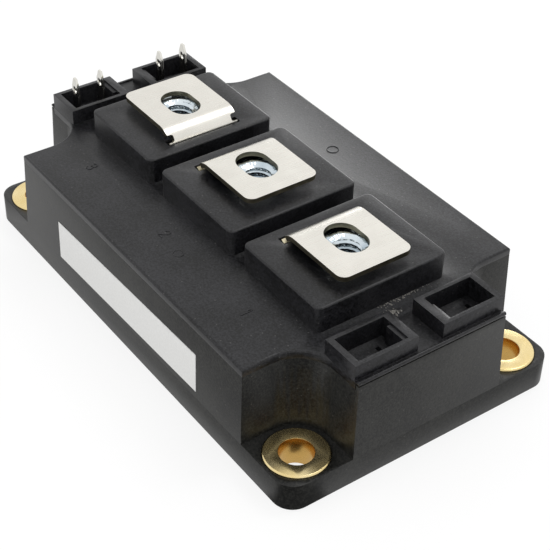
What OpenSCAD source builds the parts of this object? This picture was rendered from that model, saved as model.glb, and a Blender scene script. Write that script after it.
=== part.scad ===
// Half-bridge power transistor module in the 62 mm screw-down package.
// Frame: X along the row of screw terminals, Y across it, Z up; origin at the bottom centre.
// The case frame carries the mounting bushings and closes over the base plate, the lid carries
// the terminal blocks and the signal sockets, and the substrates sit sealed inside under gel.

/* [Case] */
// Distance from a bushing's axis to the outer faces beside it
hole_margin = 6.8; // [6.7:0.1:8]
// Height of the deck's top face above the mounting surface
deck_z = 22.6; // [21:0.2:26]
// Thickness of the moulded walls
wall_t = 2.4; // [1.8:0.1:3]
// Height of the mounting ears above the mounting surface
ear_z = 5.8; // [5:0.1:7]
// Corner radius of the mounting ears in plan
ear_corner_r = 4; // [3:0.1:6.6]
// Inward lean of the outer walls between the ears and the lid
draft = 0.45; // [0.2:0.05:0.6]
// Radius of the clearance notch round each bushing
notch_r = 7.1; // [6.8:0.1:8]
// Height by which the base plate stands proud of the plastic rim
base_proud = 0.1; // [0.05:0.05:0.2]
// Thickness of the lip that stands up along each end wall
lip_t = 0.8; // [0.6:0.1:1.2]
// Distance from the deck's top face down to that lip
lip_drop = 0.55; // [0.5:0.05:0.8]

/* [Mounting bushings] */
// Distance between bushing axes along X
hole_pitch_x = 93; // [92:0.5:94]
// Distance between bushing axes along Y
hole_pitch_y = 48; // [47:0.5:49]
// Bore for the M6 mounting screw
screw_bore_d = 6.4; // [6.2:0.1:6.8]
// Diameter of the bushing's head
bushing_head_d = 12.1; // [11:0.1:13]
// Thickness of the bushing's head
bushing_head_t = 1.2; // [0.8:0.1:1.6]
// Height by which the head stands proud of the ear
bushing_proud = 0.4; // [0.2:0.1:0.6]
// Outer diameter of the bushing's sleeve
bushing_sleeve_d = 8.4; // [8:0.1:9]
// Radial clearance round the bushing in plastic and metal
bushing_gap = 0.1; // [0.05:0.05:0.2]
// Edge break on the bushing's head and bore
bushing_edge = 0.25; // [0.1:0.05:0.4]

/* [Base plate] */
// Thickness of the base plate
base_t = 3; // [2.5:0.5:4]
// Width of the plastic rim round the base plate
base_rim = 1.3; // [1:0.1:2]
// Clearance between the base plate and the rim
base_gap = 0.1; // [0.05:0.05:0.2]
// Corner radius of the base plate
base_corner_r = 2.8; // [2.4:0.1:6]

/* [Lid] */
// Height of the lid's visible side below the deck
lid_side_h = 1.6; // [1.2:0.1:2.4]
// Radius of the deck's outer edge
deck_edge_r = 0.5; // [0.3:0.1:1.2]
// Gap between the lid and the inner face of the end wall's lip
lid_gap = 0.15; // [0.05:0.05:0.3]
// Height of the groove that shows between that lip and the lid
groove_h = 0.3; // [0.2:0.05:0.4]
// Radius of the bead along the lid's two end edges
bead_r = 0.35; // [0.2:0.05:0.4]
// Depth to which the lid's skirt reaches into the case
skirt_h = 1.8; // [1:0.1:3]
// Thickness of that skirt
skirt_t = 1.2; // [0.8:0.1:1.6]
// Clearance between the skirt and the case walls
skirt_gap = 0.15; // [0.05:0.05:0.3]

/* [Terminal blocks] */
// Distance between terminal axes
terminal_pitch = 28; // [27:0.5:29]
// Distance from a terminal's axis to the faces of its block
block_x = 12.2; // [12:0.1:12.4]
// Distance from an end terminal's axis to the outer face of its block
block_end_x = 10.6; // [10:0.1:11.2]
// Width of one block along Y
block_w = 29.2; // [28:0.2:30]
// Height of the blocks above the deck
block_h = 5.4; // [4.6:0.1:6.4]
// Corner radius of the blocks in plan
block_corner_r = 1.4; // [0.9:0.1:3]
// Radius of the blocks' top edges
block_edge_r = 0.4; // [0.3:0.1:0.8]
// Wall thickness of the cored blocks
block_wall = 1.8; // [1.2:0.1:2.2]
// Thickness of the blocks' top skin
block_skin = 2; // [1.4:0.1:3]

/* [Screw terminals] */
// Thickness of the terminal sheet
sheet_t = 1; // [0.8:0.1:1.2]
// Width of a terminal's top plate
plate_w = 16.2; // [15:0.2:17]
// Distance from the terminal axis to the outer face of the leg
bend_x = 9.4; // [9.2:0.1:9.6]
// Distance from the terminal axis to the free end
free_x = 8.7; // [8:0.1:9.6]
// Clearance between the block and the underside of the plate
plate_lift = 1.5; // [1.3:0.1:2]
// Width of the slotted hole for the power screw
plate_hole_w = 6.6; // [6.4:0.1:7]
// Length of that hole along the plate
plate_hole_l = 9.4; // [8:0.1:10]
// Distance from the terminal axis to the hole's centre, towards the bend
plate_hole_shift = 0.5; // [0:0.1:0.8]
// Corner radius at the plate's free end
plate_corner_r = 1.8; // [1:0.1:3]
// Outer radius of the bend
bend_r = 4; // [3.6:0.1:4.6]
// Width of the strip between the relief notches
strip_w = 13.6; // [12:0.2:14]
// Distance from the leg's outer face to the start of the relief notches
relief_l = 1.3; // [1.1:0.1:1.6]
// Depth at which the strip is full width again below the block's top
shoulder_drop = 0.2; // [0.1:0.1:0.4]
// Width of the leg that runs down to the substrate
leg_w = 10; // [8:0.5:12]
// Length of the leg's soldered foot
foot_l = 5.2; // [4.8:0.1:5.4]
// Clearance round the sheet in the slot in the block's top
slot_gap = 0.3; // [0.2:0.05:0.5]

/* [Terminal nuts] */
// Width across flats of the M6 nut
nut_af = 10; // [10:0.1:10.4]
// Height of the nut
nut_h = 5; // [4.5:0.1:5.2]
// Height by which the nut stands proud of the block
nut_proud = 0.9; // [0:0.1:1.2]
// Minor diameter of the M6 thread
thread_d = 5; // [4.9:0.05:5.2]
// Diameter of the countersink at the thread's mouth
nut_mouth_d = 6.8; // [6:0.1:7]
// Clearance round the nut in its pocket
nut_gap = 0.1; // [0.05:0.05:0.2]
// Wall round the nut pocket
nut_boss_wall = 1.1; // [0.8:0.1:1.2]
// Clearance bore for the screw's tip
tip_bore_d = 6.8; // [6.4:0.1:7.4]
// Depth of that bore below the nut
tip_bore_h = 5; // [3:0.5:7]

/* [Signal sockets] */
// Outer length of a socket along X
socket_l = 8.3; // [8:0.1:9]
// Gap between the two sockets of one end
socket_split = 5.6; // [5:0.1:6.4]
// Distance from the case's end face to the socket's outer wall
socket_setback = 1.7; // [1.6:0.1:2.2]
// Height of a socket above the deck
socket_h = 3.2; // [2.6:0.1:4]
// Depth of a socket below its rim
socket_depth = 4.2; // [4.1:0.1:4.8]
// Thickness of the socket walls across X
socket_wall_x = 0.85; // [0.7:0.05:1.2]
// Thickness of the socket's outer wall across Y
socket_wall_y = 1.3; // [1:0.1:1.6]
// Thickness of the wall that faces the other socket
socket_mid_wall = 1.7; // [1.2:0.1:1.9]
// Thickness of the key rib inside the socket
key_t = 0.8; // [0.6:0.1:1.2]
// Length of the pocket beside the key rib
key_pocket_l = 1.8; // [1.2:0.1:2.6]
// Depth of the key rib's top below the rim
key_drop = 0.5; // [0.3:0.1:1]
// Thickness of the socket floor
socket_floor_t = 1.8; // [1.2:0.1:2.4]

/* [Signal tabs] */
// Width of a tab
tab_w = 2.4; // [2.2:0.1:2.8]
// Thickness of a tab
tab_t = 0.5; // [0.4:0.1:0.8]
// Height of the tabs above the mounting surface
tab_z = 30.6; // [29.5:0.1:31.5]
// Distance between the two tabs of one socket
tab_pitch = 5.9; // [5.6:0.1:6.4]
// Length of the tab's tapered tip
tab_tip_h = 2; // [0.8:0.1:2.2]
// Width of the tab's blunt end
tab_tip_w = 0.9; // [0.6:0.1:1.6]
// Diameter of the latch hole in the tab
tab_hole_d = 1.2; // [0.8:0.1:1.4]
// Depth of the latch hole below the tab's end
tab_hole_drop = 2.9; // [2.9:0.1:4.5]
// Clearance round a tab in the socket floor
tab_gap = 0.15; // [0.1:0.05:0.3]
// Depth of the unused tab pockets in the two sockets that have no tabs
blind_slot_h = 0.9; // [0.5:0.1:1.2]
// Width of the lead below the socket
lead_w = 1.6; // [1.2:0.1:2]
// Height of the lead's horizontal arm above the base plate
lead_arm_h = 4; // [3:0.5:6]

/* [Substrates and chips] */
// Distance between the two substrates' centres
substrate_pitch = 40; // [39:0.5:42]
// Length of a ceramic substrate along X
ceramic_l = 36; // [35.8:0.1:36]
// Width of a ceramic substrate along Y
ceramic_w = 39; // [38:0.5:39]
// Thickness of the ceramic
ceramic_t = 0.63; // [0.38:0.01:1]
// Thickness of each copper layer
copper_t = 0.3; // [0.2:0.05:0.4]
// Bare ceramic margin round the copper
copper_margin = 0.5; // [0.3:0.1:1]
// Isolation gap between copper islands
island_gap = 0.8; // [0.5:0.1:1]
// Width of the signal pads
signal_pad_l = 2; // [1.8:0.1:2.6]
// Margin of copper round a transistor chip
chip_margin = 0.8; // [0.6:0.1:1]
// Side of a diode chip along X
diode_l = 7; // [5:0.5:7]
// Side of a diode chip along Y
diode_w = 10; // [7:0.5:10]
// Clearance between a diode chip and a terminal's foot
foot_gap = 0.75; // [0.5:0.05:1]
// Thickness of the chips
chip_t = 0.2; // [0.1:0.05:0.4]
// Thickness of the bond ribbons
ribbon_t = 0.3; // [0.2:0.05:0.4]
// Width of the bond ribbons
ribbon_w = 1.2; // [0.8:0.1:1.4]
// Distance from a chip's or island's edge to the ribbons bonded on it
ribbon_inset = 2; // [1.6:0.1:2.4]
// The same distance for gate ribbons and for the ribbons between the substrates
short_inset = 1; // [0.8:0.1:1.2]
// Distance between neighbouring bond ribbons
ribbon_pitch = 2.4; // [2:0.1:2.6]
// Bond ribbons on each transistor chip
ribbons_per_chip = 3; // [2:1:4]
// Height of the silicone gel above the base plate
gel_h = 8; // [7:0.5:10]

/* [Label] */
// Length of the label on the long side
label_l = 50; // [40:1:60]
// Height of the label
label_h = 8.4; // [6:0.2:12]
// Thickness of the label
label_t = 0.1; // [0.05:0.05:0.2]
// Height of the label's centre above the mounting surface
label_z = 10.9; // [9:0.1:13]
// Slant at which the label was stuck on, in degrees
label_tilt = 1.5; // [0:0.1:2]

/* [Hidden] */
$fn = 64;
eps = 0.01;
over = 1;

case_l = hole_pitch_x + 2 * hole_margin;
case_w = hole_pitch_y + 2 * hole_margin;
hole_x = hole_pitch_x / 2;
hole_y = hole_pitch_y / 2;
end_w = hole_pitch_y - 2 * notch_r;
seam_z = deck_z - lid_side_h;
lean = atan(draft / (seam_z - ear_z));
top_x = case_l / 2 - draft;
top_y = case_w / 2 - draft;
top_r = notch_r + draft;
end_y = hole_y - top_r;
side_x = hole_x - top_r;
lip_x = top_x - lip_t;
lip_z = deck_z - lip_drop;
block_z = deck_z + block_h;
plate_z = block_z + plate_lift;
nut_z = block_z + nut_proud - nut_h;
bend_z = plate_z + sheet_t - bend_r;
tangent_x = -bend_x + bend_r;
slot_x = tangent_x - sqrt(pow(bend_r - sheet_t, 2) - pow(block_z - bend_z, 2)) + slot_gap;
slot_w = plate_w + 2 * slot_gap;
boss_r = nut_af / 2 / cos(30) + nut_gap + nut_boss_wall;
bushing_seat_z = ear_z + bushing_proud - bushing_head_t;

socket_x1 = case_l / 2 - socket_setback;
socket_x0 = socket_x1 - socket_l;
socket_y0 = socket_split / 2;
socket_y1 = end_y;
socket_z = deck_z + socket_h;
socket_floor_z = socket_z - socket_depth;
socket_mid_x = (socket_x0 + socket_x1) / 2;
tab_mid_y = (socket_y0 + socket_mid_wall + key_t + socket_y1 - socket_wall_y) / 2;

back_copper_z = base_t;
ceramic_z = back_copper_z + copper_t;
front_copper_z = ceramic_z + ceramic_t;
chip_z = front_copper_z + copper_t;
ribbon_z = chip_z + chip_t;
substrate_x = substrate_pitch / 2;
leg_shift = terminal_pitch - bend_x - substrate_x;
leg_offset = abs(leg_shift);
leg_clear = leg_offset + island_gap;
island_w = ceramic_w - 2 * copper_margin;
signal_pad_x = -ceramic_l / 2 + copper_margin;
chip_island_x = signal_pad_x + signal_pad_l + island_gap;
chip_island_l = -leg_clear - chip_island_x;
emitter_island_l = ceramic_l / 2 - copper_margin - leg_clear;
igbt_l = chip_island_l - 2 * chip_margin;
igbt_x = chip_island_x + chip_margin;
igbt_y = island_w / 2 - chip_margin - igbt_l / 2;
diode_x = min(leg_shift, -leg_shift - foot_l) - foot_gap - diode_l;
chip_ribbon_x = igbt_x + igbt_l - ribbon_inset;
chip_ribbon_span = leg_clear + ribbon_inset - chip_ribbon_x;
stitch_span = igbt_y - igbt_l / 2 - diode_w / 2 + 2 * ribbon_inset;
gate_span = igbt_x + short_inset - signal_pad_x - signal_pad_l / 2;
bridge_x = -substrate_x + ceramic_l / 2 - copper_margin - short_inset;
bridge_span = substrate_x + chip_island_x + short_inset - bridge_x;

tab_near_y = tab_mid_y - tab_pitch / 2;
tab_far_y = tab_mid_y + tab_pitch / 2;
tab_ys = [-tab_far_y, -tab_near_y, tab_near_y, tab_far_y];

// Copies its children to the four mounting corners, mirrored so that +X +Y points outwards.
module at_corners() {
    for (mx = [0, 1], my = [0, 1])
        mirror([mx, 0, 0]) mirror([0, my, 0]) children();
}

// Box given by its low corner and its high corner.
module box(low, high) {
    translate(low) cube(high - low);
}

// Upright plate with rounded corners, centred on the Z axis.
module rounded_plate(l, w, r, z0, z1) {
    box([-l / 2 + r, -w / 2, z0], [l / 2 - r, w / 2, z1]);
    box([-l / 2, -w / 2 + r, z0], [l / 2, w / 2 - r, z1]);
    at_corners() translate([l / 2 - r, w / 2 - r, z0]) cylinder(r = r, h = z1 - z0);
}

// The case's plan above the ears: a rectangle with a notch round each bushing, all walls
// moved inwards by inset.
module case_prism(inset, z0, z1) {
    r = notch_r + inset;
    difference() {
        box([-case_l / 2 + inset, -case_w / 2 + inset, z0], [case_l / 2 - inset, case_w / 2 - inset, z1]);
        at_corners() {
            translate([hole_x, hole_y, z0 - over]) cylinder(r = r, h = z1 - z0 + 2 * over);
            box([hole_x - r, hole_y, z0 - over], [case_l / 2 + over, case_w / 2 + over, z1 + over]);
            box([hole_x, hole_y - r, z0 - over], [case_l / 2 + over, case_w / 2 + over, z1 + over]);
        }
    }
}

// Copper base plate with a hole for each bushing's sleeve.
module base_plate() {
    color("silver") difference() {
        rounded_plate(case_l - 2 * base_rim, case_w - 2 * base_rim, base_corner_r, 0, base_t);
        at_corners() translate([hole_x, hole_y, -over])
            cylinder(d = bushing_sleeve_d + 2 * bushing_gap, h = base_t + 2 * over);
    }
}

// Space outside the leaning walls above the ears: beyond the two faces of one corner and in
// its notch. The slope of the notch's flat walls is that of the round wall between them.
module outside_walls() {
    h = seam_z - ear_z;
    slope = draft / h;
    translate([0, case_w / 2, ear_z]) rotate([lean, 0, 0])
        box([-over, 0, -over], [case_l, case_w, h + 2 * over]);
    translate([case_l / 2, 0, ear_z]) rotate([0, -lean, 0])
        box([0, -over, -over], [case_l, case_w, h + 2 * over]);
    translate([hole_x, hole_y, ear_z]) {
        translate([0, 0, -over])
            cylinder(r1 = notch_r - slope * over, r2 = top_r + slope * over, h = h + 2 * over);
        translate([-notch_r, 0, 0]) rotate([0, -lean, 0])
            box([0, 0, -over], [case_l, case_w, h + 2 * over]);
        translate([0, -notch_r, 0]) rotate([lean, 0, 0])
            box([0, 0, -over], [case_l, case_w, h + 2 * over]);
    }
}

// Moulded frame: four ears joined by a rim round the base plate, and the case walls above them.
module case_frame() {
    color("#3a3b3c") difference() {
        union() {
            rounded_plate(case_l, case_w, ear_corner_r, base_proud, ear_z);
            difference() {
                box([-case_l / 2, -case_w / 2, ear_z - eps], [case_l / 2, case_w / 2, seam_z]);
                at_corners() outside_walls();
            }
            for (mx = [0, 1]) mirror([mx, 0, 0])
                box([lip_x, -end_y, seam_z - eps], [top_x, end_y, lip_z]);
        }
        case_prism(wall_t, base_t - eps, seam_z + over);
        rounded_plate(case_l - 2 * base_rim + 2 * base_gap, case_w - 2 * base_rim + 2 * base_gap,
            base_corner_r + base_gap, -over, base_t);
        at_corners() translate([hole_x, hole_y, 0]) {
            cylinder(d = bushing_sleeve_d + 2 * bushing_gap, h = ear_z + over);
            translate([0, 0, bushing_seat_z])
                cylinder(d = bushing_head_d + 2 * bushing_gap, h = bushing_head_t + over);
        }
    }
}

// Tool that rounds a straight outer edge along X: the outside is at -Y, the top at z = 0.
module edge_round(l) {
    difference() {
        box([-l / 2, -over, -deck_edge_r], [l / 2, deck_edge_r, over]);
        translate([-l / 2 - over, deck_edge_r, -deck_edge_r]) rotate([0, 90, 0])
            cylinder(r = deck_edge_r, h = l + 2 * over);
    }
}

// Tool that rounds the deck's edge round one notch, centred on the bushing's axis.
module notch_round() {
    difference() {
        translate([0, 0, -deck_edge_r]) cylinder(r = top_r + deck_edge_r, h = deck_edge_r + over);
        rotate_extrude() translate([top_r + deck_edge_r, -deck_edge_r]) circle(r = deck_edge_r);
    }
}

// The lid's flat deck. It laps over the lips of the end walls, where a bead runs along its edge.
module deck() {
    difference() {
        union() {
            case_prism(draft, seam_z, deck_z);
            for (s = [-1, 1]) translate([s * (top_x - bead_r), 0, deck_z]) rotate([90, 0, 0])
                cylinder(r = bead_r, h = 2 * end_y, center = true);
        }
        for (mx = [0, 1]) mirror([mx, 0, 0])
            box([lip_x - lid_gap, -case_w, seam_z - over], [case_l, case_w, lip_z + groove_h]);
        for (a = [0, 180]) rotate([0, 0, a]) translate([0, -top_y, deck_z])
            edge_round(2 * side_x + 2 * over);
        at_corners() {
            translate([hole_x, hole_y, deck_z]) notch_round();
            translate([side_x, (hole_y + case_w / 2 + over) / 2, deck_z]) rotate([0, 0, 90])
                edge_round(case_w / 2 + over - hole_y);
        }
    }
}

// One post of a block: a round column with a rolled top edge.
module block_post() {
    steps = 5;
    rim = [for (i = [0:steps]) [
        block_corner_r - block_edge_r * (1 - cos(90 * i / steps)),
        block_h + lid_side_h - block_edge_r * (1 - sin(90 * i / steps))
    ]];
    rotate_extrude($fn = 32) polygon(concat([[0, 0], [block_corner_r, 0]], rim, [[0, block_h + lid_side_h]]));
}

// Solid body of one terminal block, from its bend's side to x1 beyond its terminal axis.
module block_body(x1) {
    hull() for (x = [-block_x + block_corner_r, x1 - block_corner_r], s = [-1, 1])
        translate([x, s * (block_w / 2 - block_corner_r), seam_z]) block_post();
}

// What is cored out of one block: the space behind its walls and round the nut's boss.
module block_core(x1) {
    difference() {
        box([-block_x + block_wall, -block_w / 2 + block_wall, seam_z - over],
            [x1 - block_wall, block_w / 2 - block_wall, block_z - block_skin]);
        translate([0, 0, seam_z - 2 * over]) cylinder(r = boss_r, h = block_h + lid_side_h + 2 * over);
    }
}

// Pocket for the nut, with the blind bore for the screw's tip below it.
module nut_pocket() {
    translate([0, 0, nut_z])
        cylinder(r = (nut_af / 2 + nut_gap) / cos(30), h = nut_h + over, $fn = 6);
    translate([0, 0, nut_z - tip_bore_h]) cylinder(d = tip_bore_d, h = tip_bore_h + eps);
}

// The nut's boss below the deck, closed under the screw's tip.
module nut_boss() {
    low = nut_z - tip_bore_h - block_wall;
    translate([0, 0, low]) cylinder(r = boss_r, h = seam_z - low + eps);
}

// One keyed socket at the +X end on the +Y side; the key rib faces the other socket.
module socket_walls() {
    difference() {
        box([socket_x0, socket_y0, seam_z], [socket_x1, socket_y1, socket_z]);
        box([socket_x0 + socket_wall_x, socket_y0 + socket_mid_wall, socket_floor_z],
            [socket_x1 - socket_wall_x, socket_y1 - socket_wall_y, socket_z + over]);
    }
    box([socket_x0 + socket_wall_x + key_pocket_l, socket_y0 + socket_mid_wall - eps, seam_z],
        [socket_x1 - socket_wall_x + eps, socket_y0 + socket_mid_wall + key_t, socket_z - key_drop]);
}

// Space inside a socket, cut through the deck beneath it.
module socket_cavity() {
    difference() {
        box([socket_x0 + socket_wall_x, socket_y0 + socket_mid_wall, socket_floor_z],
            [socket_x1 - socket_wall_x, socket_y1 - socket_wall_y, deck_z + eps]);
        box([socket_x0 + socket_wall_x + key_pocket_l, socket_y0, seam_z],
            [socket_x1, socket_y0 + socket_mid_wall + key_t, deck_z + over]);
    }
}

// Floor of a socket below the deck, kept clear of the case walls.
module socket_floor() {
    inner_y = end_w / 2 - wall_t - skirt_gap;
    box([socket_x0, socket_y0, socket_floor_z - socket_floor_t],
        [case_l / 2 - wall_t - skirt_gap, inner_y, seam_z + eps]);
}

// Slots in the socket floors: right through for the four signal tabs, blind at the other end.
module tab_slots() {
    for (n = [0:3], s = [-1, 1])
        translate([s * socket_mid_x, tab_ys[n], socket_floor_z])
            box([-tab_w / 2 - tab_gap, -tab_t / 2 - tab_gap, s > 0 ? -blind_slot_h : -socket_floor_t - over],
                [tab_w / 2 + tab_gap, tab_t / 2 + tab_gap, over]);
}

// Lid in one moulding: deck, skirt, three terminal blocks and four signal sockets.
module lid() {
    color("#3f4042") difference() {
        union() {
            deck();
            difference() {
                case_prism(wall_t + skirt_gap, seam_z - skirt_h, seam_z + eps);
                case_prism(wall_t + skirt_gap + skirt_t, seam_z - skirt_h - over, seam_z + over);
            }
            for (i = [-1:1]) terminal_place(i) {
                block_body(i == 0 ? block_x : block_end_x);
                nut_boss();
            }
            at_corners() {
                socket_walls();
                socket_floor();
            }
        }
        for (i = [-1:1]) terminal_place(i) {
            block_core(i == 0 ? block_x : block_end_x);
            nut_pocket();
            terminal_slot();
        }
        at_corners() socket_cavity();
        tab_slots();
    }
}

// Moves a terminal to its block: i is 1 at the +X end. The last one has its bend on the other side.
module terminal_place(i) {
    translate([i * terminal_pitch, 0, 0]) mirror([i == -1 ? 1 : 0, 0, 0]) children();
}

// Slot for the sheet, cut through the top skin of a block.
module terminal_slot() {
    box([-bend_x - slot_gap, -slot_w / 2, block_z - block_skin - over],
        [slot_x, slot_w / 2, block_z + over]);
}

// Slotted hole through a terminal's plate.
module plate_hole() {
    straight = (plate_hole_l - plate_hole_w) / 2;
    h = sheet_t + 2 * over;
    box([-straight, -plate_hole_w / 2, 0], [straight, plate_hole_w / 2, h]);
    for (s = [-1, 1]) translate([s * straight, 0, 0]) cylinder(d = plate_hole_w, h = h);
}

// Bent sheet terminal: a plate with the screw hole, a wide bend with relief notches above the
// block, and a leg that runs down to a soldered foot.
module terminal() {
    top = plate_z + sheet_t;
    leg_z = block_z - block_skin - over;
    color("#e6e0d2") {
        difference() {
            union() {
                box([tangent_x, -plate_w / 2, plate_z], [free_x - plate_corner_r, plate_w / 2, top]);
                box([tangent_x, -plate_w / 2 + plate_corner_r, plate_z],
                    [free_x, plate_w / 2 - plate_corner_r, top]);
                for (s = [-1, 1])
                    translate([free_x - plate_corner_r, s * (plate_w / 2 - plate_corner_r), plate_z])
                        cylinder(r = plate_corner_r, h = sheet_t);
                intersection() {
                    box([-bend_x - over, -plate_w / 2, bend_z], [tangent_x + eps, plate_w / 2, top + over]);
                    translate([tangent_x, 0, bend_z]) rotate([90, 0, 0]) difference() {
                        cylinder(r = bend_r, h = plate_w + over, center = true);
                        cylinder(r = bend_r - sheet_t, h = plate_w + 2 * over, center = true);
                    }
                }
                box([-bend_x, -strip_w / 2, leg_z], [-bend_x + sheet_t, strip_w / 2, bend_z + eps]);
                box([-bend_x, -leg_w / 2, chip_z], [-bend_x + sheet_t, leg_w / 2, leg_z + eps]);
                box([-bend_x, -leg_w / 2, chip_z], [-bend_x + foot_l, leg_w / 2, chip_z + sheet_t]);
            }
            translate([-plate_hole_shift, 0, plate_z - over]) plate_hole();
            for (s = [-1, 1]) translate([-bend_x, s * (strip_w + plate_w) / 2, 0])
                box([-over, -plate_w / 2, block_z - shoulder_drop], [relief_l, plate_w / 2, top + over]);
        }
    }
}

// M6 hexagon nut with the corners of its ends turned off and a countersunk thread.
module nut() {
    corner_r = nut_af / 2 / cos(30);
    turned = corner_r - nut_af / 2 + over / 2;
    sink = (nut_mouth_d - thread_d) / 2;
    color("#c9d3da") difference() {
        intersection() {
            cylinder(r = corner_r, h = nut_h, $fn = 6);
            rotate_extrude() polygon([
                [0, 0], [nut_af / 2, 0], [nut_af / 2 + turned, turned],
                [nut_af / 2 + turned, nut_h - turned], [nut_af / 2, nut_h], [0, nut_h]
            ]);
        }
        translate([0, 0, -over]) cylinder(d = thread_d, h = nut_h + 2 * over);
        translate([0, 0, -eps]) cylinder(d1 = nut_mouth_d + 2 * eps, d2 = thread_d, h = sink + eps);
        translate([0, 0, nut_h - sink]) cylinder(d1 = thread_d, d2 = nut_mouth_d + 2 * eps, h = sink + eps);
    }
}

// Headed bushing, pressed into the ear and through the base plate.
module bushing() {
    head_top = ear_z + bushing_proud;
    color("#d8b765") difference() {
        union() {
            translate([0, 0, base_proud]) cylinder(d = bushing_sleeve_d, h = bushing_seat_z + eps);
            translate([0, 0, bushing_seat_z])
                cylinder(d = bushing_head_d, h = bushing_head_t - bushing_edge);
            translate([0, 0, head_top - bushing_edge])
                cylinder(d1 = bushing_head_d, d2 = bushing_head_d - 2 * bushing_edge, h = bushing_edge);
        }
        translate([0, 0, -over]) cylinder(d = screw_bore_d, h = head_top + 2 * over);
    }
}

// Stamped signal tab: a blade with a tapered tip and a latch hole, and below the socket a lead
// that steps across to its pad on the substrate.
module signal_tab() {
    floor_low = socket_floor_z - socket_floor_t;
    arm_z = base_t + lead_arm_h;
    pad_x = -substrate_x + signal_pad_x + signal_pad_l / 2 + socket_mid_x;
    color("#d9d6cc") translate([0, tab_t / 2, 0]) rotate([90, 0, 0]) difference() {
        linear_extrude(tab_t) polygon([
            [-tab_w / 2, floor_low], [-lead_w / 2, floor_low - tab_w / 2],
            [-lead_w / 2, arm_z], [pad_x - lead_w / 2, arm_z],
            [pad_x - lead_w / 2, chip_z], [pad_x + lead_w / 2, chip_z],
            [pad_x + lead_w / 2, arm_z + lead_w], [lead_w / 2, arm_z + lead_w],
            [lead_w / 2, floor_low - tab_w / 2], [tab_w / 2, floor_low],
            [tab_w / 2, tab_z - tab_tip_h], [tab_tip_w / 2, tab_z],
            [-tab_tip_w / 2, tab_z], [-tab_w / 2, tab_z - tab_tip_h]
        ]);
        translate([0, tab_z - tab_hole_drop, -over]) cylinder(d = tab_hole_d, h = tab_t + 2 * over, $fn = 32);
    }
}

// Ceramic plate of one substrate.
module ceramic() {
    color("#eeeae0") box([-ceramic_l / 2, -ceramic_w / 2, ceramic_z],
        [ceramic_l / 2, ceramic_w / 2, front_copper_z]);
}

// Copper layer by which one substrate is soldered to the base plate.
module back_copper() {
    color("#b87345") box([-ceramic_l / 2 + copper_margin, -island_w / 2, back_copper_z],
        [ceramic_l / 2 - copper_margin, island_w / 2, ceramic_z]);
}

// Etched copper islands of one substrate: four signal pads, the chip island and the emitter island.
module front_copper() {
    color("#b87345") translate([0, 0, front_copper_z]) {
        for (n = [0:3]) translate([signal_pad_x, tab_ys[n] - signal_pad_l, 0])
            cube([signal_pad_l, 2 * signal_pad_l, copper_t]);
        translate([chip_island_x, -island_w / 2, 0]) cube([chip_island_l, island_w, copper_t]);
        translate([leg_clear, -island_w / 2, 0]) cube([emitter_island_l, island_w, copper_t]);
    }
}

// Copies its children to the two substrates.
module at_substrates() {
    for (s = [-1, 1]) translate([s * substrate_x, 0, 0]) children();
}

// Transistor chips, two on each substrate.
module igbt_chips() {
    color("#7d7f86") at_substrates() for (s = [-1, 1])
        translate([igbt_x, s * igbt_y - igbt_l / 2, chip_z]) cube([igbt_l, igbt_l, chip_t]);
}

// Free-wheeling diode chips, one on each substrate.
module diode_chips() {
    color("#6d6f78") at_substrates()
        translate([diode_x, -diode_w / 2, chip_z]) cube([diode_l, diode_w, chip_t]);
}

// One bond ribbon: a half ring over the given span, its foot at the far end lowered by drop.
module bond_ribbon(span, drop) {
    r = span / 2;
    translate([r, ribbon_w / 2, 0]) rotate([90, 0, 0]) linear_extrude(ribbon_w) {
        difference() {
            circle(r = r + ribbon_t / 2);
            circle(r = r - ribbon_t / 2);
            translate([-2 * r, -4 * r]) square(4 * r);
        }
        if (drop > 0) translate([r - ribbon_t / 2, -drop]) square([ribbon_t, drop]);
    }
}

// Aluminium bond ribbons: from each transistor chip to the emitter island and back to its gate
// pad, from each diode chip to the transistor chips beside it, and between the substrates.
module bond_ribbons() {
    color("#d4d6d8") {
        at_substrates() for (s = [-1, 1]) {
            for (i = [0:ribbons_per_chip - 1])
                translate([chip_ribbon_x, s * igbt_y + (i - (ribbons_per_chip - 1) / 2) * ribbon_pitch, ribbon_z])
                    bond_ribbon(chip_ribbon_span, chip_t);
            translate([diode_x + diode_l / 2, s * (diode_w / 2 - ribbon_inset), ribbon_z])
                rotate([0, 0, s * 90]) bond_ribbon(stitch_span, 0);
            translate([igbt_x + short_inset, s * (tab_near_y + short_inset), ribbon_z])
                rotate([0, 0, 180]) bond_ribbon(gate_span, chip_t);
        }
        for (i = [-1:1]) translate([bridge_x, i * ribbon_pitch, chip_z])
            bond_ribbon(bridge_span, 0);
    }
}

// Silicone gel poured over the substrates, up to the case walls.
module silicone_gel() {
    color("#dfe6ea") difference() {
        case_prism(wall_t, base_t, base_t + gel_h);
        inner_parts();
    }
}

// Everything that stands in the gel.
module inner_parts() {
    at_substrates() {
        back_copper();
        ceramic();
        front_copper();
    }
    igbt_chips();
    diode_chips();
    bond_ribbons();
    all_terminals();
    for (n = [0:3]) translate([-socket_mid_x, tab_ys[n], 0]) signal_tab();
}

// The three screw terminals in place.
module all_terminals() {
    for (i = [-1:1]) terminal_place(i) terminal();
}

// Plain label on the long side.
module label() {
    color("#e4e6e4") translate([0, -case_w / 2, ear_z]) rotate([-lean, 0, 0])
        translate([0, -label_t / 2, label_z - ear_z]) rotate([0, -label_tilt, 0])
            cube([label_l, label_t, label_h], center = true);
}

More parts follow.
